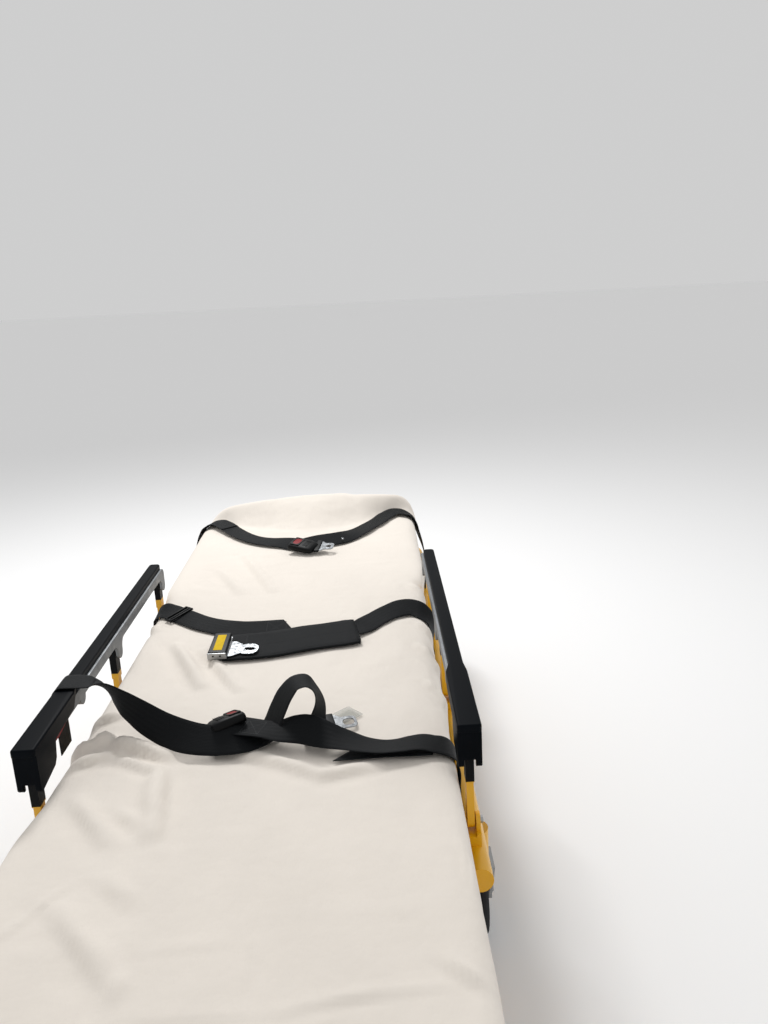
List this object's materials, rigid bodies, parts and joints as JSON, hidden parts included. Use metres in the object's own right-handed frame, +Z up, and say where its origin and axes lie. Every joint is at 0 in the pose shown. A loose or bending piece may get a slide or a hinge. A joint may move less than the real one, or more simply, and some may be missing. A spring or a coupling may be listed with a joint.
{
  "type": "ambulance stretcher",
  "caption": "Wheeled ambulance stretcher with folding X legs, tilting backrest, fold-down side rails, straps and a sheeted mattress.",
  "frame": {"origin": "on the floor under the middle of the stretcher", "axes": "+Y runs from the head end to the foot end, +X to the right side seen from the head end, +Z up"},
  "size_m": [0.706, 2.06, 0.536],
  "materials": {
    "caster_tyre": "moulded rubber",
    "caster_hub": "moulded",
    "fork_steel": "plated",
    "red_plastic": "moulded",
    "yellow_paint": "powder coat",
    "leg_paint": "powder coat",
    "bracket_paint": "powder coat",
    "track_aluminium": "anodised",
    "roller_plastic": "moulded",
    "deck_plastic": "formed sheet",
    "sheet_cotton": "woven cotton over foam",
    "cast_aluminium": "cast",
    "rail_polymer": "moulded",
    "black_paint": "powder coat",
    "black_plastic": "moulded",
    "webbing": "woven nylon",
    "buckle_plastic": "moulded"
  },
  "bodies": {
    "base": {"base_frame": "yellow_paint", "base_tracks": "track_aluminium"},
    "caster_head_left": {"fork_head_left": "fork_steel"},
    "wheel_head_left": {"tyre_head_left": "caster_tyre", "hub_head_left": "caster_hub"},
    "caster_head_right": {"fork_head_right": "fork_steel"},
    "wheel_head_right": {"tyre_head_right": "caster_tyre", "hub_head_right": "caster_hub"},
    "caster_foot_left": {"brake_foot_left": "red_plastic", "fork_foot_left": "fork_steel"},
    "wheel_foot_left": {"tyre_foot_left": "caster_tyre", "hub_foot_left": "caster_hub"},
    "caster_foot_right": {"brake_foot_right": "red_plastic", "fork_foot_right": "fork_steel"},
    "wheel_foot_right": {"tyre_foot_right": "caster_tyre", "hub_foot_right": "caster_hub"},
    "leg_outer": {"leg_outer": "leg_paint", "rollers_outer": "roller_plastic"},
    "leg_inner": {"leg_inner": "leg_paint", "rollers_inner": "roller_plastic"},
    "litter": {"litter_frame": "yellow_paint", "litter_tracks": "track_aluminium", "seat_deck": "deck_plastic", "mattress_seat": "sheet_cotton", "mattress_fold": "sheet_cotton", "rail_brackets_left": "bracket_paint", "rail_brackets_right": "bracket_paint", "foot_lift_bar": "black_paint", "release_handle": "red_plastic", "pole_socket": "black_plastic", "buckle_chest": "buckle_plastic", "buckle_hips": "buckle_plastic", "buckle_legs": "buckle_plastic", "strap_chest": "webbing", "strap_drape": "webbing", "strap_hips": "webbing", "strap_legs": "webbing"},
    "backrest": {"backrest_frame": "yellow_paint", "backrest_deck": "deck_plastic", "mattress_back": "sheet_cotton"},
    "head_section": {"head_frame": "yellow_paint"},
    "load_wheel_left": {"load_tyre_left": "caster_tyre", "load_hub_left": "caster_hub"},
    "load_wheel_right": {"load_tyre_right": "caster_tyre", "load_hub_right": "caster_hub"},
    "rail_arm_left_head": {"rail_arm_left_head": "yellow_paint"},
    "rail_arm_left_middle": {"rail_arm_left_middle": "yellow_paint"},
    "rail_arm_left_foot": {"rail_arm_left_foot": "yellow_paint"},
    "rail_left": {"rail_left": "cast_aluminium", "rail_cap_left": "rail_polymer", "rail_latch_left": "red_plastic"},
    "rail_arm_right_head": {"rail_arm_right_head": "yellow_paint"},
    "rail_arm_right_middle": {"rail_arm_right_middle": "yellow_paint"},
    "rail_arm_right_foot": {"rail_arm_right_foot": "yellow_paint"},
    "rail_right": {"rail_right": "cast_aluminium", "rail_cap_right": "rail_polymer", "rail_latch_right": "red_plastic"}
  },
  "joints": [
    {"name": "swivel_head_left", "type": "hinge", "parent": "base", "child": "caster_head_left", "pos_m": [-0.322, -0.245, 0.17], "axis": [0, 0, 1], "continuous": true},
    {"name": "roll_head_left", "type": "hinge", "parent": "caster_head_left", "child": "wheel_head_left", "pos_m": [-0.322, -0.2, 0.075], "axis": [1, 0, 0], "continuous": true},
    {"name": "swivel_head_right", "type": "hinge", "parent": "base", "child": "caster_head_right", "pos_m": [0.322, -0.245, 0.17], "axis": [0, 0, 1], "continuous": true},
    {"name": "roll_head_right", "type": "hinge", "parent": "caster_head_right", "child": "wheel_head_right", "pos_m": [0.322, -0.2, 0.075], "axis": [1, 0, 0], "continuous": true},
    {"name": "swivel_foot_left", "type": "hinge", "parent": "base", "child": "caster_foot_left", "pos_m": [-0.322, 0.855, 0.17], "axis": [0, 0, 1], "continuous": true},
    {"name": "roll_foot_left", "type": "hinge", "parent": "caster_foot_left", "child": "wheel_foot_left", "pos_m": [-0.322, 0.9, 0.075], "axis": [1, 0, 0], "continuous": true},
    {"name": "swivel_foot_right", "type": "hinge", "parent": "base", "child": "caster_foot_right", "pos_m": [0.322, 0.855, 0.17], "axis": [0, 0, 1], "continuous": true},
    {"name": "roll_foot_right", "type": "hinge", "parent": "caster_foot_right", "child": "wheel_foot_right", "pos_m": [0.322, 0.9, 0.075], "axis": [1, 0, 0], "continuous": true},
    {"name": "leg_fold", "type": "hinge", "parent": "base", "child": "leg_outer", "pos_m": [0, -0.19, 0.185], "axis": [1, 0, 0], "range_deg": [0, 44]},
    {"name": "leg_cross", "type": "hinge", "parent": "leg_outer", "child": "leg_inner", "pos_m": [0, 0.30724, 0.2375], "axis": [-1, 0, 0], "range_deg": [0, 88]},
    {"name": "litter_level", "type": "hinge", "parent": "leg_inner", "child": "litter", "pos_m": [0, -0.19, 0.29], "axis": [1, 0, 0], "range_deg": [0, 44]},
    {"name": "backrest", "type": "hinge", "parent": "litter", "child": "backrest", "pos_m": [0, -0.35, 0.357], "axis": [-1, 0, 0], "range_deg": [0, 73], "deforming": ["mattress_fold", "strap_chest"]},
    {"name": "head_slide", "type": "slide", "parent": "litter", "child": "head_section", "axis": [0, 1, 0], "range_m": [0, 0.33]},
    {"name": "roll_load_left", "type": "hinge", "parent": "head_section", "child": "load_wheel_left", "pos_m": [-0.2, -0.93, 0.2], "axis": [1, 0, 0], "continuous": true},
    {"name": "roll_load_right", "type": "hinge", "parent": "head_section", "child": "load_wheel_right", "pos_m": [0.2, -0.93, 0.2], "axis": [1, 0, 0], "continuous": true},
    {"name": "rail_arm_left_head", "type": "hinge", "parent": "litter", "child": "rail_arm_left_head", "pos_m": [-0.2975, -0.43, 0.372], "axis": [1, 0, 0], "range_deg": [0, 72], "deforming": ["strap_drape"]},
    {"name": "rail_arm_left_middle", "type": "hinge", "parent": "litter", "child": "rail_arm_left_middle", "pos_m": [-0.2975, -0.03, 0.372], "axis": [1, 0, 0], "range_deg": [0, 72]},
    {"name": "rail_arm_left_foot", "type": "hinge", "parent": "litter", "child": "rail_arm_left_foot", "pos_m": [-0.2975, 0.325, 0.372], "axis": [1, 0, 0], "range_deg": [0, 72]},
    {"name": "rail_left", "type": "hinge", "parent": "rail_arm_left_head", "child": "rail_left", "pos_m": [-0.2975, -0.43, 0.487], "axis": [-1, 0, 0], "range_deg": [0, 72]},
    {"name": "rail_arm_right_head", "type": "hinge", "parent": "litter", "child": "rail_arm_right_head", "pos_m": [0.2975, -0.43, 0.372], "axis": [1, 0, 0], "range_deg": [0, 72]},
    {"name": "rail_arm_right_middle", "type": "hinge", "parent": "litter", "child": "rail_arm_right_middle", "pos_m": [0.2975, -0.03, 0.372], "axis": [1, 0, 0], "range_deg": [0, 72]},
    {"name": "rail_arm_right_foot", "type": "hinge", "parent": "litter", "child": "rail_arm_right_foot", "pos_m": [0.2975, 0.325, 0.372], "axis": [1, 0, 0], "range_deg": [0, 72]},
    {"name": "rail_right", "type": "hinge", "parent": "rail_arm_right_head", "child": "rail_right", "pos_m": [0.2975, -0.43, 0.487], "axis": [-1, 0, 0], "range_deg": [0, 72]}
  ],
  "couplings": [
    {"joint": "leg_cross", "follows": "leg_fold", "ratio": 2},
    {"joint": "litter_level", "follows": "leg_fold", "ratio": 1},
    {"joint": "rail_arm_left_middle", "follows": "rail_arm_left_head", "ratio": 1},
    {"joint": "rail_arm_left_foot", "follows": "rail_arm_left_head", "ratio": 1},
    {"joint": "rail_left", "follows": "rail_arm_left_head", "ratio": 1},
    {"joint": "rail_arm_right_middle", "follows": "rail_arm_right_head", "ratio": 1},
    {"joint": "rail_arm_right_foot", "follows": "rail_arm_right_head", "ratio": 1},
    {"joint": "rail_right", "follows": "rail_arm_right_head", "ratio": 1}
  ]
}
